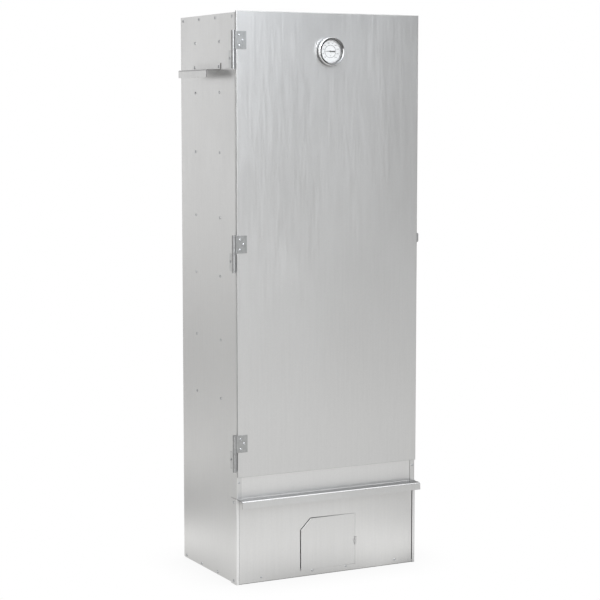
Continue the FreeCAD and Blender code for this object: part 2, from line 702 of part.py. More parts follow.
def latch_hook():
    """A swivelling hook, drawn upright and released; it swings forward and down over the keeper."""
    def at(out, up):
        return (LATCH_Y + up, LATCH_Z + out)

    eye = rod(V(HOOK_X, LATCH_Y, LATCH_Z), X_AXIS, 6.0, HOOK_T)
    arm = outline([at(0, 3.5), at(33, 3.5), at(33, 8.5), at(0, 8.5)], "x", HOOK_X, HOOK_T)
    nose = outline([at(28.7, -4), at(31.5, -4), at(33, -1), at(33, 5), at(28.7, 5)], "x", HOOK_X, HOOK_T)
    thumb = outline([at(10, 7.3), at(19, 7.3), at(19, 8.5), at(10, 8.5)], "x", HOOK_X, 9.0)
    hook = fuse([eye, arm, nose, thumb])
    return hook.cut(rod(V(HOOK_X - 1, LATCH_Y, LATCH_Z), X_AXIS, PIN_R + FIT, 5))


def latch_keeper():
    """A plate welded behind the door skin, whose cut-off corners stand out past the door's edge."""
    low = KEEPER_Z - KEEPER_H / 2
    high = KEEPER_Z + KEEPER_H / 2
    corner = KEEPER_TIP - KEEPER_CUT
    root = LINER_X + 5.0
    lower = [(root, low), (corner, low), (KEEPER_TIP, low + KEEPER_CUT)]
    upper = [(KEEPER_TIP, high - KEEPER_CUT), (corner, high), (root, high)]
    return outline(lower + upper, "y", DOOR_FACE + SHEET, LEAF_T)


# ---- drawer ------------------------------------------------------------------------------
def flap_outline(gap, gap_right, foot):
    """The flap's outline, grown by a gap that narrows along the top towards the hinge."""
    left = FLAP_LEFT - gap
    right = FLAP_RIGHT + gap_right
    shoulder_x = FLAP_LEFT + FLAP_CHAMFER - 0.4 * gap
    shoulder_z = FLAP_TOP - FLAP_CHAMFER + 0.4 * gap
    low = [(left, foot), (right, foot)]
    return low + [(right, FLAP_TOP + gap_right), (shoulder_x, FLAP_TOP + gap), (left, shoulder_z)]


def drawer_front():
    """One sheet: the front plate, bent forward at the top into a ledge with a lip to pull on."""
    plate_mid = DRAWER_FACE + SHEET / 2
    ledge_mid = LEDGE_TOP - SHEET / 2
    lip_mid = DRAWER_FACE - LEDGE_REACH + SHEET / 2
    lip = (lip_mid - LIP_LEAN, LEDGE_TOP - LIP_H)
    path = [lip, (lip_mid, ledge_mid), (plate_mid, ledge_mid), (plate_mid, PLATE_FOOT)]
    front = folded_sheet(path, "x", -HALF_W, HALF_W - 2.0, bend=LEDGE_BEND)
    beside = DRAWER_FACE - 1.5
    left_notch = box(-HALF_W - 1, PLATE_LEFT, beside, DRAWER_FACE + 2, 0, LEDGE_TOP + 1)
    right_notch = box(PLATE_RIGHT, HALF_W + 1, beside, DRAWER_FACE + 2, 0, LEDGE_TOP + 1)
    mouth_outline = flap_outline(FLAP_GAP, FLAP_GAP_RIGHT, FLAP_FOOT - FLAP_GAP_FOOT)
    mouth = outline(mouth_outline, "y", DRAWER_FACE - 1, 3)
    return front.cut([left_notch, right_notch, mouth] + rivet_holes(drawer_rivet_points(), OUT_FRONT))


def drawer_tray():
    """The drawer's floor and cheeks, open at the back, so that it passes the heating element.

    Its front flange carries the drawer front, and stops the flap's lower edge.
    """
    cheek = TRAY_X - SHEET / 2
    fold = cheek - 10
    floor = PLATE_FOOT + SHEET / 2
    top = CHEEK_TOP - SHEET / 2
    path = [(-fold, top), (-cheek, top), (-cheek, floor), (cheek, floor), (cheek, top), (fold, top)]
    inner_face = DRAWER_FACE + SHEET
    body = folded_sheet(path, "y", inner_face, TRAY_BACK)
    flange = box(-TRAY_X + 2, TRAY_X - 2, inner_face, inner_face + SHEET, PLATE_FOOT, FLAP_STOP_TOP)
    return fuse([body, flange]).cut(rivet_holes(drawer_rivet_points(), OUT_FRONT))


def chip_pan():
    return pan(-176, 176, -122, 104, CHEEK_TOP, CHEEK_TOP + 30, corner=6.0)


def flap_knuckle(low, high):
    return rod(V(FLAP_AXIS_X, FLAP_AXIS_Y, FLAP_HINGE_Z + low), Z_AXIS, FLAP_KNUCKLE_R, high - low)


def ajar(shape):
    """Turns a piece of the flap from closed to slightly open."""
    shape.rotate(V(FLAP_AXIS_X, FLAP_AXIS_Y, 0), Z_AXIS, FLAP_AJAR)
    return shape


def air_flap():
    plate = outline(flap_outline(0, 0, FLAP_FOOT), "y", DRAWER_FACE, SHEET)
    front_edges = [edge for edge in plate.Edges if edge.BoundBox.YMax < DRAWER_FACE + 0.01]
    middles = [edge.CenterOfMass for edge in front_edges]
    free_edges = [edge for edge, middle in zip(front_edges, middles)
                  if middle.z > FLAP_FOOT + 1 and middle.x < FLAP_RIGHT - 1]
    return ajar(plate.makeFillet(0.4, free_edges))


def flap_leaf():
    """The hinge leaf on the flap, with the middle knuckle."""
    half = FLAP_MIDDLE_HALF
    leaf = box(FLAP_AXIS_X - FLAP_LEAF_W, FLAP_AXIS_X, DRAWER_FACE - FLAP_LEAF_T, DRAWER_FACE,
               FLAP_HINGE_Z - half, FLAP_HINGE_Z + half)
    bore = rod(V(FLAP_AXIS_X, FLAP_AXIS_Y, FLAP_HINGE_Z - 9), Z_AXIS, FLAP_PIN_R + FIT, 18)
    return ajar(fuse([leaf, flap_knuckle(-half, half)]).cut(bore))


def flap_fixed_leaf():
    """The hinge leaf on the drawer front, with the two outer knuckles."""
    front = DRAWER_FACE - FLAP_LEAF_T
    half = FLAP_HINGE_HALF
    inner = FLAP_MIDDLE_HALF + 0.2
    pieces = [box(FLAP_AXIS_X + 1.4, FLAP_AXIS_X + FLAP_LEAF_W, front, DRAWER_FACE,
                  FLAP_HINGE_Z - half, FLAP_HINGE_Z + half)]
    for low, high in ((-half, -inner), (inner, half)):
        pieces.append(flap_knuckle(low, high))
        pieces.append(box(FLAP_AXIS_X, FLAP_AXIS_X + 2, front, DRAWER_FACE,
                          FLAP_HINGE_Z + low, FLAP_HINGE_Z + high))
    bore = rod(V(FLAP_AXIS_X, FLAP_AXIS_Y, FLAP_HINGE_Z - 9), Z_AXIS, FLAP_PIN_R, 18)
    return fuse(pieces).cut(bore)


def flap_pin():
    low = V(FLAP_AXIS_X, FLAP_AXIS_Y, FLAP_HINGE_Z - FLAP_HINGE_HALF)
    return rod(low, Z_AXIS, FLAP_PIN_R, 2 * FLAP_HINGE_HALF)


# ---- vent --------------------------------------------------------------------------------
def vent_damper():
    disc = rod(V(0, VENT_Y, BODY_H + 0.2), Z_AXIS, DAMPER_R, SHEET)
    tab = box(DAMPER_R - 4, DAMPER_R - 3, VENT_Y - 7, VENT_Y + 7, BODY_H + 0.2, BODY_H + 6)
    tools = vent_holes(BODY_H - 1, 4)
    tools.append(rod(V(0, VENT_Y, BODY_H - 1), Z_AXIS, 3.0 + FIT, 4))
    return fuse([disc, tab]).cut(tools)


def damper_pivot():
    shank = rod(V(0, VENT_Y, BODY_H - SHEET), Z_AXIS, 3.0, 2.5)
    head = rod(V(0, VENT_Y, BODY_H + 1.4), Z_AXIS, 6.5, 1.4)
    foot = rod(V(0, VENT_Y, BODY_H - SHEET - 1.2), Z_AXIS, 4.5, 1.2)
    return fuse([shank, head, foot])


# ---- rivet groups ------------------------------------------------------------------------
def cabinet_rivets():
    pieces = []
    for sign in (-1, 1):
        outward = V(sign, 0, 0)
        face = sign * HALF_W
        over_corner = sign * (HALF_W + SHEET)
        points = rail_rivet_points(face) + top_rivet_points(face) + bottom_rivet_points(face)[1:]
        pieces += [rivet(point, outward, 2 * SHEET) for point in points]
        pieces.append(rivet(V(over_corner, EDGE_RIVET_Y[0], BOTTOM_RIVET_Z), outward, 3 * SHEET))
        pieces.append(rivet(corner_rivet_point(over_corner), outward, 2 * SHEET))
        handle_face = sign * (HALF_W + HANDLE_T)
        pieces += [rivet(point, outward, HANDLE_T + SHEET) for point in handle_rivet_points(handle_face)]
    for gap in HINGE_GAPS:
        pieces += [rivet(point, OUT_LEFT, LEAF_T + SHEET, 2.7) for point in hinge_side_points(gap)]
    pieces += [rivet(point, OUT_RIGHT, LEAF_T + SHEET, 2.7) for point in latch_rivet_points()]
    pieces += [rivet(point, OUT_FRONT, 2 * SHEET, 2.4) for point in rail_panel_rivet_points()]
    pieces += [rivet(point, OUT_BACK, 2 * SHEET) for point in back_rivet_points()]
    pieces += [rivet(point, OUT_BACK, 2 * SHEET) for point in cover_screw_points()]
    return group(pieces)


def door_rivets():
    pieces = []
    for gap in HINGE_GAPS:
        pieces += [rivet(point, OUT_FRONT, LEAF_T + SHEET, 2.7) for point in hinge_door_points(gap)]
    return group(pieces)


def drawer_rivets():
    return group([rivet(point, OUT_FRONT, 2 * SHEET, 2.4) for point in drawer_rivet_points()])


# ---- assembly ----------------------------------------------------------------------------
def build():
    nodes = {
        "left_side_panel": side_panel(-1),
        "right_side_panel": side_panel(1),
        "back_panel": back_panel(),
        "top_panel": top_panel(),
        "bottom_panel": bottom_panel(),
        "front_rail": front_rail(),
        "lower_corner_left": lower_corner(-1, STRIP_LEFT),
        "lower_corner_right": lower_corner(1, STRIP_RIGHT),
        "side_handle_left": side_handle(-1),
        "side_handle_right": side_handle(1),
        "drip_tray": drip_tray(),
        "heating_element": heating_element(),
        "element_flange": element_flange(),
        "terminal_cover": terminal_cover(),
        "power_inlet": power_inlet(),
        "hinge_pins": group([hinge_pin(gap) for gap in HINGE_GAPS]),
        "latch_base": latch_base(),
        "latch_pin": latch_pin(),
        "latch_hook": latch_hook(),
        "latch_keeper": latch_keeper(),
        "cabinet_rivets": cabinet_rivets(),
        "damper_pivot": damper_pivot(),
        "vent_damper": vent_damper(),
        "door_skin": door_skin(),
        "door_liner": door_liner(),
        "door_rivets": door_rivets(),
        "thermometer_case": thermometer_case(),
        "thermometer_dial": thermometer_dial(),
        "thermometer_lens": thermometer_lens(),
        "thermometer_stem": thermometer_stem(),
        "thermometer_nut": thermometer_nut(),
        "thermometer_needle": thermometer_needle(),
        "drawer_front": drawer_front(),
        "drawer_tray": drawer_tray(),
        "chip_pan": chip_pan(),
        "drawer_rivets": drawer_rivets(),
        "air_flap": air_flap(),
        "flap_leaf": flap_leaf(),
        "flap_fixed_leaf": flap_fixed_leaf(),
        "flap_pin": flap_pin(),
    }
    for index, z in enumerate(LEVELS):
        nodes["rack_rails_%d" % (index + 1)] = rail_pair(z)
    first_rack = rack(LEVELS[RACK_LEVELS[0]])
    for index, level in enumerate(RACK_LEVELS):
        shape = first_rack.copy()
        shape.translate(V(0, 0, LEVELS[level] - LEVELS[RACK_LEVELS[0]]))
        nodes["rack_%d" % (index + 1)] = shape
    for index, level in enumerate(ROD_LEVELS):
        nodes["hanging_rods_%d" % (index + 1)] = hanging_rods(LEVELS[level])
    for index, gap in enumerate(HINGE_GAPS):
        nodes["hinge_side_leaf_%d" % (index + 1)] = hinge_side_leaf(gap)
        nodes["hinge_door_leaf_%d" % (index + 1)] = hinge_door_leaf(gap)
    return nodes


os.makedirs("parts", exist_ok=True)
for name, shape in build().items():
    shape.exportStep("parts/%s.step" % name)
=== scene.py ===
"""Looks of the electric cabinet smoker: coated sheet, zinc hinges, dial thermometer, studio light.

Metres, +Z up, the front faces -Y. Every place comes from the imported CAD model.
"""
import json
import math
import random

import bmesh
import bpy
from mathutils import Matrix, Vector


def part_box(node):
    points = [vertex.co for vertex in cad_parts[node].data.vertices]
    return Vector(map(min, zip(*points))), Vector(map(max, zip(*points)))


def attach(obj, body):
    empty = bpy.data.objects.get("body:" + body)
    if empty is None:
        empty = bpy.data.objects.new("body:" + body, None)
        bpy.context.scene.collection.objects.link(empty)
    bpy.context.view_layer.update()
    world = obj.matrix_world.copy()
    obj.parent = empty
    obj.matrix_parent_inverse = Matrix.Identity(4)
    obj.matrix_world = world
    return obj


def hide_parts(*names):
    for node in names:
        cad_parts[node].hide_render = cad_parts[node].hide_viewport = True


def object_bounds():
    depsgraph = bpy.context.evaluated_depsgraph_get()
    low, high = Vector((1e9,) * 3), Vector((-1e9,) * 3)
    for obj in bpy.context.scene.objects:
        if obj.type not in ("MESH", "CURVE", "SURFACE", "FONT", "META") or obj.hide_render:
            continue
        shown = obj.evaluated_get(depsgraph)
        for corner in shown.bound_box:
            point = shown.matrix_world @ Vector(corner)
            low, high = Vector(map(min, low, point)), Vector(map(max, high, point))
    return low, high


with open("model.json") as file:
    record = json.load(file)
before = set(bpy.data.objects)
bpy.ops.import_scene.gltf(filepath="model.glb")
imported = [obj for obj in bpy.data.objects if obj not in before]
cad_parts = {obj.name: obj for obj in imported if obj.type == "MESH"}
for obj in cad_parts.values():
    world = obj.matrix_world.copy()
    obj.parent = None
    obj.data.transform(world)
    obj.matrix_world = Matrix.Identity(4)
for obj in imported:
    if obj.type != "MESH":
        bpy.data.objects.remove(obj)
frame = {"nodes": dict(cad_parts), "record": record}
cad_low, cad_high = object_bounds()
NODES = frame["nodes"]
random.seed(11)

MM = 0.001
WELD = 1e-6                     # metres; corners nearer than this are one

# ---- camera: the front-left corner faces the lens, seen from a little above -----------------
CAMERA_PLACE = (-1.816, -3.513, 1.008)
CAMERA_TURN = 27.39             # degrees to the right of the +Y direction
CAMERA_DIP = 6.04               # degrees below the horizon
CAMERA_LENS = 107.1

# ---- studio light --------------------------------------------------------------------------
STUDIO_GREY = 0.25
# Each panel: azimuth from the front to the right, elevation, half width (degrees), strength.
PANELS = [
    (-90, 20, 40, 0.15),
    (-150, -5, 20, 0.95),
    (180, 10, 40, 0.35),
    (120, 20, 40, 0.2),
    (0, 90, 45, 0.25),
    (65, 55, 26, 1.6),
]
COOL_PANELS = [
    (0, 30, 25, 1.7),
    (0, 45, 35, 1.65),
    (-20, 60, 30, 0.4),
]
BLACK_FLAGS = [
    (85, 5, 50, -0.2),
]
COOL = (0.965, 0.993, 1.025)
SOFTBOXES = [                   # name, place, what it points at, size, watts, colour
    ("key_low", (-0.8, -2.4, 1.4), (0, 0, 0.7), (1.0, 1.4), 21.0, (1.0, 1.0, 0.995)),
    ("key_middle", (-0.4, -2.2, 1.6), (0, 0, 0.7), (1.0, 1.4), 13.0, (0.97, 0.99, 1.02)),
    ("key_high", (0.2, -2.0, 1.9), (0, 0, 0.9), (1.0, 1.0), 6.0, (0.92, 0.98, 1.06)),
    ("key_far", (-0.1, -2.4, 2.0), (0, 0, 0.8), (1.0, 1.0), 4.0, (0.92, 0.98, 1.06)),
]
FLOOR_HALF = 12.0
FLOOR_GLOW = [                  # metres from the middle, strength
    (0.1, 0.5), (0.45, 1.2), (0.8, 0.42), (1.3, 1.05),
    (2.2, 0.74), (4.0, 0.5), (8.0, 1.25), (12.0, 0.0),
]
FLOOR_SIDES = [                 # azimuth, half width (degrees), part added or taken away
    (25, 60, 0.1),
    (-150, 60, -0.05),
    (85, 45, -0.75),
]
FLOOR_WARM = (1.0, 0.995, 0.982)
CONTACT_REACH = 0.12            # metres
CONTACT_DARK = 0.93

# ---- finishes ------------------------------------------------------------------------------
SHEET_TONE = (0.674, 0.674, 0.671)
SHEET_TONES = {"front_rail": (0.745, 0.745, 0.742), "drawer_front": (0.680, 0.680, 0.677)}
SHEET_ROUGH = 0.36
# Lit and shaded copies of the coated sheet: the lower corner strips and the ledge's front bend get
# a painted highlight, the door's side bend and the ledge's top get painted shade.
PAINTED_BEND_LIGHT = [               # name, shift of its pattern, tone, roughness
    ("corner_strip_highlight", (5, 3, 8), 0.80, 0.40),
    ("door_bend_shade", (2, 7, 4), 0.44, 0.45),
    ("ledge_top_shade", (6, 1, 3), 0.36, 0.36),
    ("ledge_bend_highlight", (3, 9, 1), 0.70, 0.26),
]
PLATE_TONE = (0.42, 0.425, 0.425)
KNUCKLE_TONE = (0.37, 0.372, 0.372)
KNUCKLE_ROUGH = 0.55
SIDE_PLATE_TONE = (0.60, 0.605, 0.605)
# black of the needle, and of the ring that paints shade at the thermometer's foot
BLACK_NEEDLE_AND_SHADE = (0.02, 0.02, 0.02)
DIAL_TONE = (0.72, 0.725, 0.725)
INK_TONE = (0.05, 0.05, 0.055)
MOST_OF_NOISE = (0.3, 0.7)      # noise seldom leaves this span
GRAZING = (0.68, 0.92)          # facing values between which coated sheet turns glossier
GRAZING_GLOSS = 0.35            # part of the roughness that is left there

# ---- the dial's printed scale, in millimetres and in degrees anticlockwise from the right -----
INK_LIFT = 0.06 * MM
SCALE_START = 225
SCALE_SWEEP = 270
SCALE_MARKS = 36
SCALE_NUMBERS = 10
SCALE_STEP = 20
LETTER_SIZE = 1.4               # a letter's font size over the height of its capitals

# ---- faces of a sheet ----------------------------------------------------------------------
FLAT_TURN = math.radians(1)     # faces that meet at less than this are one flat
SQUARE_TURN = math.radians(60)  # a cut edge meets its neighbours at more than this
CUT_EDGE_WIDTH = 1.6 * MM
FLAT_NORMAL = 0.97              # a face whose normal has this much of an axis lies flat across it
END_NORMAL = 0.5
STRIP_NORMAL = 0.25
BEND_NORMAL = 0.2
LEVEL_NORMAL = 0.95
EDGE_ROUND = 0.15 * MM
EDGE_ROUND_FROM = math.radians(50)


def make_camera():
    data = bpy.data.cameras.new("camera")
    data.lens = CAMERA_LENS
    data.sensor_width = 36.0
    data.clip_end = 100.0
    camera = bpy.data.objects.new("camera", data)
    bpy.context.scene.collection.objects.link(camera)
    camera.location = CAMERA_PLACE
    camera.rotation_euler = (math.radians(90 - CAMERA_DIP), 0, math.radians(-CAMERA_TURN))
    bpy.context.scene.camera = camera


# ---- node helpers --------------------------------------------------------------------------
class Shader:
    """A small wrapper that adds nodes to a material and wires them by name."""

    def __init__(self, name):
        self.material = bpy.data.materials.new(name)
        self.material.use_nodes = True
        self.tree = self.material.node_tree
        self.surface = self.tree.nodes["Principled BSDF"]

    def node(self, kind, **settings):
        made = self.tree.nodes.new(kind)
        for key, value in settings.items():
            setattr(made, key, value)
        return made

    def link(self, source, target):
        self.tree.links.new(source, target)

    def set(self, **values):
        for key, value in values.items():
            self.surface.inputs[key.replace("_", " ")].default_value = value

    def coordinates(self, scale=(1, 1, 1), shift=(0, 0, 0)):
        place = self.node("ShaderNodeTexCoord")
        mapping = self.node("ShaderNodeMapping")
        mapping.inputs["Scale"].default_value = scale
        mapping.inputs["Location"].default_value = shift
        self.link(place.outputs["Object"], mapping.inputs["Vector"])
        return mapping.outputs["Vector"]

    def noise(self, scale, detail=3.0, stretch=(1, 1, 1), shift=(0, 0, 0), roughness=0.5):
        texture = self.node("ShaderNodeTexNoise")
        texture.inputs["Scale"].default_value = scale
        texture.inputs["Detail"].default_value = detail
        texture.inputs["Roughness"].default_value = roughness
        self.link(self.coordinates(stretch, shift), texture.inputs["Vector"])
        return texture.outputs["Fac"]

    def cells(self, scale, stretch=(1, 1, 1)):
        texture = self.node("ShaderNodeTexVoronoi")
        texture.inputs["Scale"].default_value = scale
        self.link(self.coordinates(stretch), texture.inputs["Vector"])
        return texture.outputs["Color"]

    def span(self, value, low, high, start=0.0, end=1.0):
        """Maps value from start..end to low..high."""
        ranged = self.node("ShaderNodeMapRange")
        ranged.inputs["From Min"].default_value = start
        ranged.inputs["From Max"].default_value = end
        ranged.inputs["To Min"].default_value = low
        ranged.inputs["To Max"].default_value = high
        self.link(value, ranged.inputs["Value"])
        return ranged.outputs["Result"]

    def sum(self, first, second, operation="ADD"):
        maths = self.node("ShaderNodeMath", operation=operation)
        for socket, value in zip(maths.inputs, (first, second)):
            if isinstance(value, (int, float)):
                socket.default_value = value
            else:
                self.link(value, socket)
        return maths.outputs[0]

    def blend(self, factor, first, second):
        mix = self.node("ShaderNodeMix", data_type="RGBA")
        self.link(factor, mix.inputs["Factor"])
        for socket, colour in ((mix.inputs["A"], first), (mix.inputs["B"], second)):
            if isinstance(colour, tuple):
                socket.default_value = (*colour, 1.0)
            else:
                self.link(colour, socket)
        return mix.outputs["Result"]

    def bump(self, height, strength, distance, under=None):
        bump = self.node("ShaderNodeBump")
        bump.inputs["Strength"].default_value = strength
        bump.inputs["Distance"].default_value = distance
        self.link(height, bump.inputs["Height"])
        if under is not None:
            self.link(under, bump.inputs["Normal"])
        return bump.outputs["Normal"]

    def feed(self, **sources):
        for key, source in sources.items():
            self.link(source, self.surface.inputs[key.replace("_", " ")])

    def lobe(self, aim, centre, reach, strength):
        """Rises smoothly from 0 at 'reach' degrees from the centre to 'strength' in the middle."""
        dot = self.node("ShaderNodeVectorMath", operation="DOT_PRODUCT")
        self.link(aim, dot.inputs[0])
        dot.inputs[1].default_value = centre
        edge = self.node("ShaderNodeMapRange", interpolation_type="SMOOTHSTEP")
        edge.inputs["From Min"].default_value = math.cos(math.radians(reach))
        edge.inputs["To Max"].default_value = strength
        self.link(dot.outputs["Value"], edge.inputs["Value"])
        return edge.outputs["Result"]

    def split_by_camera(self, lit, seen, output="Material Output"):
        """The room is lit by one shader, and the lens sees another."""
        ray = self.node("ShaderNodeLightPath")
        mix = self.node("ShaderNodeMixShader")
        self.link(ray.outputs["Is Camera Ray"], mix.inputs["Fac"])
        self.link(lit.outputs[0], mix.inputs[1])
        self.link(seen.outputs[0], mix.inputs[2])
        self.link(mix.outputs[0], self.tree.nodes[output].inputs["Surface"])


def coated_sheet(name, shift, tone=SHEET_TONE, rough=SHEET_ROUGH):
    """Aluminium-zinc coated steel: satin, with fine upright rolling marks and a faint spangle."""
    made = Shader(name)
    made.set(Metallic=1.0)
    lines = made.noise(1.0, 4.0, (900, 900, 14), shift, 0.6)
    streaks = made.noise(1.0, 3.0, (210, 210, 9), shift)
    clouds = made.noise(3.2, 2.0, (1, 1, 0.6), shift)
    spangle = made.cells(420.0)
    grain = made.node("ShaderNodeSeparateColor")
    made.link(spangle, grain.inputs["Color"])
    light = tuple(min(1.0, channel * 1.025) for channel in tone)
    dark = tuple(channel * 0.975 for channel in tone)
    streaky = made.span(streaks, 0.0, 0.55, *MOST_OF_NOISE)
    shade = made.sum(streaky, made.span(grain.outputs["Red"], 0.0, 0.45))
    made.feed(Base_Color=made.blend(shade, dark, light))
    lined = made.span(lines, rough - 0.05, rough + 0.05, *MOST_OF_NOISE)
    gloss = made.sum(lined, made.span(clouds, -0.03, 0.03, *MOST_OF_NOISE))
    tilt = made.node("ShaderNodeLayerWeight")
    tilt.inputs["Blend"].default_value = 0.5
    sharper = made.span(tilt.outputs["Facing"], 1.0, GRAZING_GLOSS, *GRAZING)
    even = made.sum(gloss, made.span(grain.outputs["Green"], -0.02, 0.02))
    made.feed(Roughness=made.sum(even, sharper, "MULTIPLY"))
    waves = made.bump(clouds, 0.10, 0.01)
    made.feed(Normal=made.bump(lines, 0.05, 0.0004, waves))
    return made.material


def zinc_plate(name, tone=PLATE_TONE, rough=SHEET_ROUGH):
    """Zinc plating, mottled and scuffed."""
    made = Shader(name)
    made.set(Metallic=1.0)
    mottle = made.noise(160.0, 4.0)
    scuffs = made.noise(1.0, 3.0, (1400, 500, 80))
    dark = tuple(channel * 0.78 for channel in tone)
    light = tuple(min(1.0, channel * 1.18) for channel in tone)
    made.feed(Base_Color=made.blend(mottle, dark, light))
    made.feed(Roughness=made.span(scuffs, rough - 0.08, rough + 0.12, *MOST_OF_NOISE))
    made.feed(Normal=made.bump(mottle, 0.25, 0.0002))
    return made.material


def bright_rivet():
    """Aluminium rivet heads, slightly grained."""
    made = Shader("bright_rivet")
    made.set(Metallic=1.0)
    grain = made.noise(900.0, 3.0)
    made.feed(Base_Color=made.blend(grain, (0.42, 0.43, 0.44), (0.60, 0.61, 0.62)))
    made.feed(Roughness=made.span(grain, 0.24, 0.40))
    made.feed(Normal=made.bump(grain, 0.15, 0.0001))
    return made.material


def chrome(name, level, rough=0.05):
    """Polished plating with a faint haze; the level says how much it reflects."""
    made = Shader(name)
    made.set(Metallic=1.0)
    haze = made.noise(300.0, 2.0)
    cool = (level * 0.95, level * 0.96, level * 0.98)
    made.feed(Base_Color=made.blend(haze, cool, (level, level, level)))
    made.feed(Roughness=made.span(haze, rough, rough + 0.06))
    return made.material


def bare_and_shaded_edge():
    """Cut edges of the sheet, where the steel shows dull and dark between its coatings, darkened
    further as painted shade for the gaps and shadows beside them.
    """
    made = Shader("bare_and_shaded_edge")
    made.set(Metallic=1.0)
    burr = made.noise(700.0, 3.0)
    made.feed(Base_Color=made.blend(burr, (0.10, 0.10, 0.10), (0.24, 0.235, 0.23)))
    made.feed(Roughness=made.span(burr, 0.45, 0.65))
    return made.material


def enamel(name, colour, rough=0.45):
    """An even paint or ink with a fine speck; also the black ring that paints shade at the
    thermometer's foot.
    """
    made = Shader(name)
    speck = made.noise(700.0, 3.0)
    dark = tuple(channel * 0.94 for channel in colour)
    made.feed(Base_Color=made.blend(speck, dark, colour))
    made.feed(Roughness=made.span(speck, rough - 0.06, rough + 0.06))
    return made.material


def dial_glass():
    """Flat glass that lets the dial through and reflects a little more at a low angle."""
    made = Shader("dial_glass")
    made.tree.nodes.remove(made.surface)
    clear = made.node("ShaderNodeBsdfTransparent")
    gloss = made.node("ShaderNodeBsdfGlossy")
    smear = made.noise(60.0, 3.0)
    made.link(made.span(smear, 0.01, 0.05), gloss.inputs["Roughness"])
    edge = made.node("ShaderNodeLayerWeight")
    edge.inputs["Blend"].default_value = 0.5
    mix = made.node("ShaderNodeMixShader")
    made.link(made.span(edge.outputs["Facing"], 0.043, 0.30, 0.35, 0.95), mix.inputs["Fac"])
    made.link(clear.outputs[0], mix.inputs[1])
    made.link(gloss.outputs[0], mix.inputs[2])
    made.link(mix.outputs[0], made.tree.nodes["Material Output"].inputs["Surface"])
    return made.material


def drawn_steel():
    """Drawn stainless wire and rod."""
    made = Shader("drawn_stainless")
    made.set(Metallic=1.0)
    lines = made.noise(1.0, 3.0, (900, 900, 900))
    made.feed(Base_Color=made.blend(lines, (0.55, 0.55, 0.56), (0.72, 0.72, 0.73)))
    made.feed(Roughness=made.span(lines, 0.2, 0.34))
    return made.material


def heat_tinted():
    """The element's sheath, tinted and pitted by heat."""
    made = Shader("element_sheath")
    made.set(Metallic=1.0)
    patches = made.noise(26.0, 4.0)
    pits = made.noise(1500.0, 2.0)
    made.feed(Base_Color=made.blend(patches, (0.16, 0.15, 0.15), (0.40, 0.35, 0.30)))
    made.feed(Roughness=made.span(patches, 0.4, 0.6))
    made.feed(Normal=made.bump(pits, 0.3, 0.0001))
    return made.material


def black_plastic():
    """The mains inlet's grained body."""
    made = Shader("inlet_plastic")
    grain = made.noise(1800.0, 2.0)
    made.feed(Base_Color=made.blend(grain, (0.012, 0.012, 0.013), (0.03, 0.03, 0.032)))
    made.feed(Roughness=made.span(grain, 0.38, 0.55))
    made.feed(Normal=made.bump(grain, 0.2, 0.0001))
    return made.material


def give(material, node):
    """Puts one material in all of a CAD node's slots."""
    slots = NODES[node].data.materials
    if not slots:
        slots.append(material)
    for index in range(len(slots)):
        slots[index] = material


def dress_nodes():
    """Every CAD node that stays visible gets its finish."""
    edge_material = bare_and_shaded_edge()
    # copies of the sheet with painted highlights and painted shade
    light_and_shade_copies = {name: coated_sheet("coated_" + name, shift, (tone, tone, tone), rough)
             for name, shift, tone, rough in PAINTED_BEND_LIGHT}
    for index, name in enumerate(sorted(NODES)):
        if slot_of(name) == "coated_sheet":
            shift = (index * 1.7, index * 0.9, index * 2.3)
            tone = SHEET_TONES.get(name, SHEET_TONE)
            give(coated_sheet("coated_" + name, shift, tone), name)
            trim_sheet(name, edge_material, light_and_shade_copies)
    finishes = {
        "zinc_plated": zinc_plate("zinc_plate"),
        "rivet_metal": bright_rivet(),
        "bright_chrome": chrome("nut_chrome", 0.8, 0.12),
        "dial_white": enamel("dial_white", DIAL_TONE),
        "dial_glass": dial_glass(),
        "needle_black": enamel("needle_black", BLACK_NEEDLE_AND_SHADE),
        "stainless": drawn_steel(),
        "element_steel": heat_tinted(),
        "inlet_plastic": black_plastic(),
    }
    for name in NODES:
        finish = finishes.get(slot_of(name))
        if finish:
            give(finish, name)
    knuckle = zinc_plate("zinc_knuckle", KNUCKLE_TONE, KNUCKLE_ROUGH)
    side_plate = zinc_plate("zinc_side_plate", SIDE_PLATE_TONE)
    for name in NODES:
        if name.startswith("hinge_") and "leaf" in name:
            dress_hinge(name, knuckle, side_plate)


def cut_faces(node):
    """Indices of the narrow flat faces that meet their neighbours square: a sheet's cut edges."""
    mesh = bmesh.new()
    mesh.from_mesh(NODES[node].data)
    number = mesh.faces.layers.int.new("number")
    for face in mesh.faces:
        face[number] = face.index
    bmesh.ops.remove_doubles(mesh, verts=mesh.verts, dist=WELD)
    waiting = set(mesh.faces)
    found = []
    while waiting:
        start = waiting.pop()
        region = [start]
        border = 0.0
        square = True
        for face in region:
            for edge in face.edges:
                others = [other for other in edge.link_faces if other is not face]
                turn = face.normal.angle(others[0].normal, 0.0) if others else math.pi
                if turn > FLAT_TURN:
                    border += edge.calc_length()
                    square = square and turn > SQUARE_TURN
                elif others[0] in waiting:
                    waiting.discard(others[0])
                    region.append(others[0])
        area = sum(face.calc_area() for face in region)
        if square and border > 0 and 2 * area / border < CUT_EDGE_WIDTH:
            found += [face[number] for face in region]
    mesh.free()
    return found


def dress_hinge(node, knuckle, side_plate):
    """The rolled knuckle is duller than the flat leaves, and the leaf on the side is paler."""
    data = NODES[node].data
    data.materials.append(knuckle)
    data.materials.append(side_plate)
    for face in data.polygons:
        if abs(face.normal.x) > FLAT_NORMAL:
            face.material_index = len(data.materials) - 1
        elif abs(face.normal.y) < FLAT_NORMAL and abs(face.normal.z) < END_NORMAL:
            face.material_index = len(data.materials) - 2


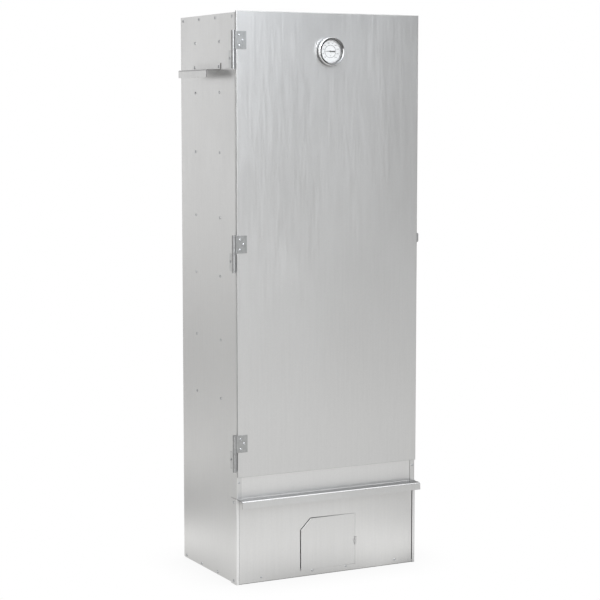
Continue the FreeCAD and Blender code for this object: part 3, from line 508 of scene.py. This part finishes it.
def painted_light_of(node, normal):
    """Which of the painted highlights and painted shades on a sheet's bends, strips and ledge a
    face gets, if any.
    """
    if node.startswith("lower_corner") and normal.y < -STRIP_NORMAL:
        return "corner_strip_highlight"
    if node == "door_skin" and normal.x < -BEND_NORMAL:
        return "door_bend_shade"
    if node == "drawer_front" and normal.z > LEVEL_NORMAL:
        return "ledge_top_shade"
    if node == "drawer_front" and normal.z > BEND_NORMAL and normal.y < -BEND_NORMAL:
        return "ledge_bend_highlight"
    return None


def trim_sheet(node, edge_material, light_and_shade_copies):
    """Cut edges turn dark, partly bare steel and partly painted shade, and bends and strips get
    painted highlights and painted shade.
    """
    data = NODES[node].data
    data.materials.append(edge_material)
    # cut edges: bare steel, darkened further as painted shade
    for index in cut_faces(node):
        data.polygons[index].material_index = len(data.materials) - 1
    for name, material in light_and_shade_copies.items():
        faces = [face for face in data.polygons if painted_light_of(node, face.normal) == name]
        if faces:
            data.materials.append(material)
        for face in faces:
            face.material_index = len(data.materials) - 1


def slot_of(name):
    """The record's material slot for a CAD node."""
    for row in frame["record"]["subparts"]:
        if row["node"] == name:
            return row["material_slot"]
    return "coated_sheet"


# ---- pieces made here ----------------------------------------------------------------------
def add_piece(name, mesh, body, material, replaced=(), crease=35):
    """Turns a bmesh into a smooth-shaded piece that rides on a body."""
    bmesh.ops.recalc_face_normals(mesh, faces=mesh.faces)
    data = bpy.data.meshes.new(name)
    mesh.to_mesh(data)
    mesh.free()
    data.shade_smooth()
    data.set_sharp_from_angle(angle=math.radians(crease))
    data.materials.append(material)
    piece = bpy.data.objects.new(name, data)
    bpy.context.scene.collection.objects.link(piece)
    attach(piece, body)
    if replaced:
        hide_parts(*replaced)
    return piece


def facing(place, outward):
    """A matrix whose z axis points outward from a place."""
    return Matrix.Translation(place) @ outward.to_track_quat("Z", "Y").to_matrix().to_4x4()


def lathe(mesh, profile, frame_matrix, segments=24, closed=False):
    """Turns a profile of (radius, height) in millimetres about a matrix's z axis."""
    rings = []
    for radius, height in profile:
        count = segments if radius > 0 else 1
        ring = []
        for index in range(count):
            angle = 2 * math.pi * index / segments
            point = Vector((radius * math.cos(angle), radius * math.sin(angle), height)) * MM
            ring.append(mesh.verts.new(frame_matrix @ point))
        rings.append(ring)
    pairs = list(zip(rings, rings[1:]))
    if closed:
        pairs.append((rings[-1], rings[0]))
    for near, far in pairs:
        for index in range(segments):
            after = (index + 1) % segments
            corners = [near[index % len(near)], near[after % len(near)],
                       far[after % len(far)], far[index % len(far)]]
            mesh.faces.new(list(dict.fromkeys(corners)))


def islands(node):
    """Lowest and highest corner of each separate solid of a CAD node."""
    mesh = bmesh.new()
    mesh.from_mesh(NODES[node].data)
    mesh.transform(NODES[node].matrix_world)
    bmesh.ops.remove_doubles(mesh, verts=mesh.verts, dist=WELD)
    waiting = set(mesh.verts)
    boxes = []
    while waiting:
        start = waiting.pop()
        reached = [start]
        for vert in reached:
            for edge in vert.link_edges:
                other = edge.other_vert(vert)
                if other in waiting:
                    waiting.discard(other)
                    reached.append(other)
        low = Vector([min(vert.co[axis] for vert in reached) for axis in range(3)])
        high = Vector([max(vert.co[axis] for vert in reached) for axis in range(3)])
        boxes.append((low, high))
    mesh.free()
    return sorted(boxes, key=lambda pair: tuple(round(value, 5) for value in pair[0]))


def rivet_place(low, high):
    """The middle of a rivet's top, its outward axis, radius and length."""
    size = high - low
    spare = [abs(size[(axis + 1) % 3] - size[(axis + 2) % 3]) for axis in range(3)]
    axis = spare.index(min(spare))
    outward = Vector((0, 0, 0))
    middle = (low + high) / 2
    outward[axis] = math.copysign(1.0, middle[axis])
    return middle + outward * size[axis] / 2, outward, size[(axis + 1) % 3] / 2, size[axis]


def rivet_profile(radius, length):
    """A blind rivet from its top down: snapped mandrel in its dimple, dome, shank and set end."""
    head = 1.2
    dimple = 1.25
    crown = head - 0.25
    steps = 6
    mandrel = [(0, -0.42), (0.75, -0.42), (0.9, -0.5), (0.98, -0.5), (1.1, -0.1), (dimple, 0.0)]
    dome = []
    for step in range(1, steps + 1):
        angle = math.radians(90 / steps * step)
        dome.append((dimple + (radius - dimple) * math.sin(angle), -crown * (1 - math.cos(angle))))
    under = [(radius, -head + 0.06), (radius - 0.08, -head), (1.6, -head)]
    end = length - 1.2
    tail = [(1.6, -end), (2.15, -end), (2.3, -end - 0.3), (2.25, -end - 0.75), (1.9, -end - 1.1),
            (1.2, -length)]
    return mandrel + dome + under + tail + [(0, -length)]


def make_rivets(node, body, material):
    """Blind rivets in the places of a node's CAD rivets, each turned and leant at random."""
    mesh = bmesh.new()
    for low, high in islands(node):
        top, outward, radius, length = rivet_place(low, high)
        spin = Matrix.Rotation(random.uniform(0, 2 * math.pi), 4, "Z")
        lean = Matrix.Rotation(math.radians(random.uniform(-1.5, 1.5)), 4, "X")
        profile = rivet_profile(radius / MM, length / MM)
        lathe(mesh, profile, facing(top, outward) @ spin @ lean)
    add_piece("blind_" + node, mesh, body, material, (node,), 50)


def make_thermometer_case(bright, satin, dark, shade_black):
    """A satin drum on a black ring that paints the shade at its foot, with a rolled chrome rim and
    a throat that slopes in, darkened to paint the shade and dark reflection inside the rim.
    """
    low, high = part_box("thermometer_case")
    middle = (low + high) / 2
    place = facing(Vector((middle.x, low.y, middle.z)), Vector((0, -1, 0)))
    # a black ring where the case meets the door, as painted shade
    shade_ring = [(6.0, -13.0), (26.9, -13.0), (27.2, -12.7), (27.2, -10.3), (26.0, -9.6)]
    drum = [(26.0, -9.7), (27.4, -9.7), (29.3, -9.0), (29.8, -8.6), (29.8, -2.2), (29.0, -2.2)]
    rim = [(29.75, -3.4), (30.0, -3.1), (30.0, -1.4), (29.9, -0.85), (29.65, -0.4), (29.3, -0.12),
           (28.9, 0.0), (28.55, -0.06)]
    # the throat's dark chrome is painted shade and painted dark reflection inside the rim
    throat = [(28.6, -0.04), (28.1, -0.25), (25.2, -1.75), (24.95, -1.95), (24.85, -2.2),
              (24.85, -4.6)]
    inside = [(24.85, -4.5), (24.85, -11.0), (6.0, -11.0)]
    pieces = (("thermometer_shade_ring", shade_ring, shade_black, "needle_black", ()),
              ("thermometer_drum", drum, satin, "stainless", ()),
              ("thermometer_bezel", rim, bright, "bright_chrome", ("thermometer_case",)),
              ("thermometer_throat", throat, dark, "bright_chrome", ()),
              ("thermometer_inside", inside, satin, "stainless", ()))
    for name, profile, material, slot, replaced in pieces:
        mesh = bmesh.new()
        lathe(mesh, profile, place, 144)
        add_piece(name, mesh, "door", material, replaced, 40)


def flat_ring(mesh, inner, outer, start, end, steps, place):
    """A flat arc between two radii (millimetres) and two angles (degrees)."""
    rows = []
    for index in range(steps + 1):
        angle = math.radians(start + (end - start) * index / steps)
        aim = Vector((math.cos(angle), math.sin(angle), 0))
        rows.append([mesh.verts.new(place @ (aim * radius * MM)) for radius in (inner, outer)])
    for near, far in zip(rows, rows[1:]):
        mesh.faces.new((near[0], near[1], far[1], far[0]))


def letters(mesh, text, height, place):
    """Flat letters, centred on a matrix's origin."""
    curve = bpy.data.curves.new("letters", "FONT")
    curve.body = text
    curve.size = height * MM * LETTER_SIZE
    curve.align_x = "CENTER"
    curve.align_y = "CENTER"
    sample = bpy.data.objects.new("letters", curve)
    bpy.context.scene.collection.objects.link(sample)
    bpy.context.view_layer.update()
    flat = sample.evaluated_get(bpy.context.evaluated_depsgraph_get()).to_mesh()
    flat.transform(place)
    mesh.from_mesh(flat)
    bpy.data.objects.remove(sample)
    bpy.data.curves.remove(curve)


def make_dial_print(material):
    """The printed scale, 20 to 200, on the dial's front."""
    low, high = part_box("thermometer_dial")
    middle = (low + high) / 2
    place = facing(Vector((middle.x, low.y - INK_LIFT, middle.z)), Vector((0, -1, 0)))
    mesh = bmesh.new()
    flat_ring(mesh, 12.75, 13.4, 0, 360, 96, place)
    flat_ring(mesh, 22.6, 22.8, 0, 360, 96, place)
    for index in range(SCALE_MARKS + 1):
        angle = SCALE_START - SCALE_SWEEP * index / SCALE_MARKS
        reach, half = (14.7, 0.9) if index % 4 == 0 else (14.0, 0.5)
        flat_ring(mesh, 13.2, reach, angle - half, angle + half, 1, place)
    for index in range(SCALE_NUMBERS):
        angle = math.radians(SCALE_START - SCALE_SWEEP * index / (SCALE_NUMBERS - 1))
        spot = Vector((math.cos(angle), math.sin(angle), 0)) * 17.7 * MM
        letters(mesh, str(SCALE_STEP * (index + 1)), 2.5, place @ Matrix.Translation(spot))
    letters(mesh, "\u00b0C", 3.0, place @ Matrix.Translation((0, -9.0 * MM, 0)))
    add_piece("dial_print", mesh, "door", material)


def soften_edges():
    """A small round on every sheet's cut edges, so that they catch the light."""
    for name, node in NODES.items():
        if node.hide_render or slot_of(name) in ("dial_white", "dial_glass"):
            continue
        round_off = node.modifiers.new("edges", "BEVEL")
        round_off.width = EDGE_ROUND
        round_off.segments = 2
        round_off.limit_method = "ANGLE"
        round_off.angle_limit = EDGE_ROUND_FROM
        round_off.harden_normals = True


# ---- studio --------------------------------------------------------------------------------
def make_floor():
    """A white paper floor with a faint contact shadow. Its light on the sheet varies outwards."""
    mesh = bmesh.new()
    bmesh.ops.create_grid(mesh, x_segments=8, y_segments=8, size=FLOOR_HALF)
    data = bpy.data.meshes.new("floor")
    mesh.to_mesh(data)
    mesh.free()
    floor = bpy.data.objects.new("floor", data)
    bpy.context.scene.collection.objects.link(floor)
    floor.location.z = cad_low.z
    made = Shader("floor_white")
    place = made.node("ShaderNodeTexCoord")
    far = made.node("ShaderNodeVectorMath", operation="LENGTH")
    made.link(place.outputs["Object"], far.inputs[0])
    glow = FLOOR_GLOW[0][1]
    for (start, before), (end, after) in zip(FLOOR_GLOW, FLOOR_GLOW[1:]):
        glow = made.sum(made.span(far.outputs["Value"], 0.0, after - before, start, end), glow)
    aim = made.node("ShaderNodeVectorMath", operation="NORMALIZE")
    made.link(place.outputs["Object"], aim.inputs[0])
    share = None
    for azimuth, reach, part in FLOOR_SIDES:
        lobe = made.lobe(aim.outputs["Vector"], direction(azimuth, 0), reach, part)
        share = made.sum(lobe, 1.0 if share is None else share)
    shaded = made.node("ShaderNodeEmission")
    shaded.inputs["Color"].default_value = (*FLOOR_WARM, 1.0)
    made.link(made.sum(glow, share, "MULTIPLY"), shaded.inputs["Strength"])
    shadow = made.node("ShaderNodeAmbientOcclusion")
    shadow.inputs["Distance"].default_value = CONTACT_REACH
    paper = made.node("ShaderNodeEmission")
    shade = made.span(shadow.outputs["AO"], CONTACT_DARK, 1.0, 0.35, 1.0)
    made.link(shade, paper.inputs["Strength"])
    made.split_by_camera(shaded, paper)
    data.materials.append(made.material)


def direction(azimuth, elevation):
    """Azimuth 0 looks out of the object's front, and grows towards its right."""
    turn, lift = math.radians(azimuth), math.radians(elevation)
    return (math.sin(turn) * math.cos(lift), -math.cos(turn) * math.cos(lift), math.sin(lift))


def make_world():
    """A grey studio with large soft panels, cool in front. The lens sees a white backdrop."""
    world = bpy.data.worlds.new("studio")
    bpy.context.scene.world = world
    world.use_nodes = True
    made = Shader.__new__(Shader)
    made.tree = world.node_tree
    aim = made.node("ShaderNodeTexCoord").outputs["Generated"]
    both = made.node("ShaderNodeAddShader")
    groups = ((made.tree.nodes["Background"], PANELS + BLACK_FLAGS, STUDIO_GREY, (1, 1, 1)),
              (made.node("ShaderNodeBackground"), COOL_PANELS, 0.0, COOL))
    for index, (background, panels, total, colour) in enumerate(groups):
        for azimuth, elevation, reach, strength in panels:
            total = made.sum(made.lobe(aim, direction(azimuth, elevation), reach, strength), total)
        made.link(made.sum(total, 0.0, "MAXIMUM"), background.inputs["Strength"])
        background.inputs["Color"].default_value = (*colour, 1)
        made.link(background.outputs[0], both.inputs[index])
    white = made.node("ShaderNodeBackground")
    white.inputs["Color"].default_value = (1, 1, 1, 1)
    made.split_by_camera(both, white, "World Output")


def area_light(name, place, target, size, power, colour):
    """A softbox that the lens doesn't see."""
    data = bpy.data.lights.new(name, "AREA")
    data.shape = "RECTANGLE"
    data.size, data.size_y = size
    data.energy = power
    data.color = colour
    light = bpy.data.objects.new(name, data)
    bpy.context.scene.collection.objects.link(light)
    light.location = place
    light.rotation_euler = (Vector(target) - Vector(place)).to_track_quat("-Z", "Y").to_euler()
    light.visible_camera = False


def make_lights():
    for softbox in SOFTBOXES:
        area_light(*softbox)


make_camera()
make_world()
make_floor()
make_lights()
dress_nodes()
rivet_material = bright_rivet()
for body_name in ("cabinet", "door", "drawer"):
    make_rivets(body_name + "_rivets", body_name, rivet_material)
# the throat's low chrome level and the black ring at the foot are painted shade
make_thermometer_case(chrome("bright_chrome", 0.85), chrome("drum_steel", 0.34, 0.3),
                      chrome("throat_painted_shade", 0.17, 0.06), enamel("shade_ring_black", BLACK_NEEDLE_AND_SHADE))
make_dial_print(enamel("dial_ink", INK_TONE))
soften_edges()

bpy.context.scene.view_settings.view_transform = "Standard"
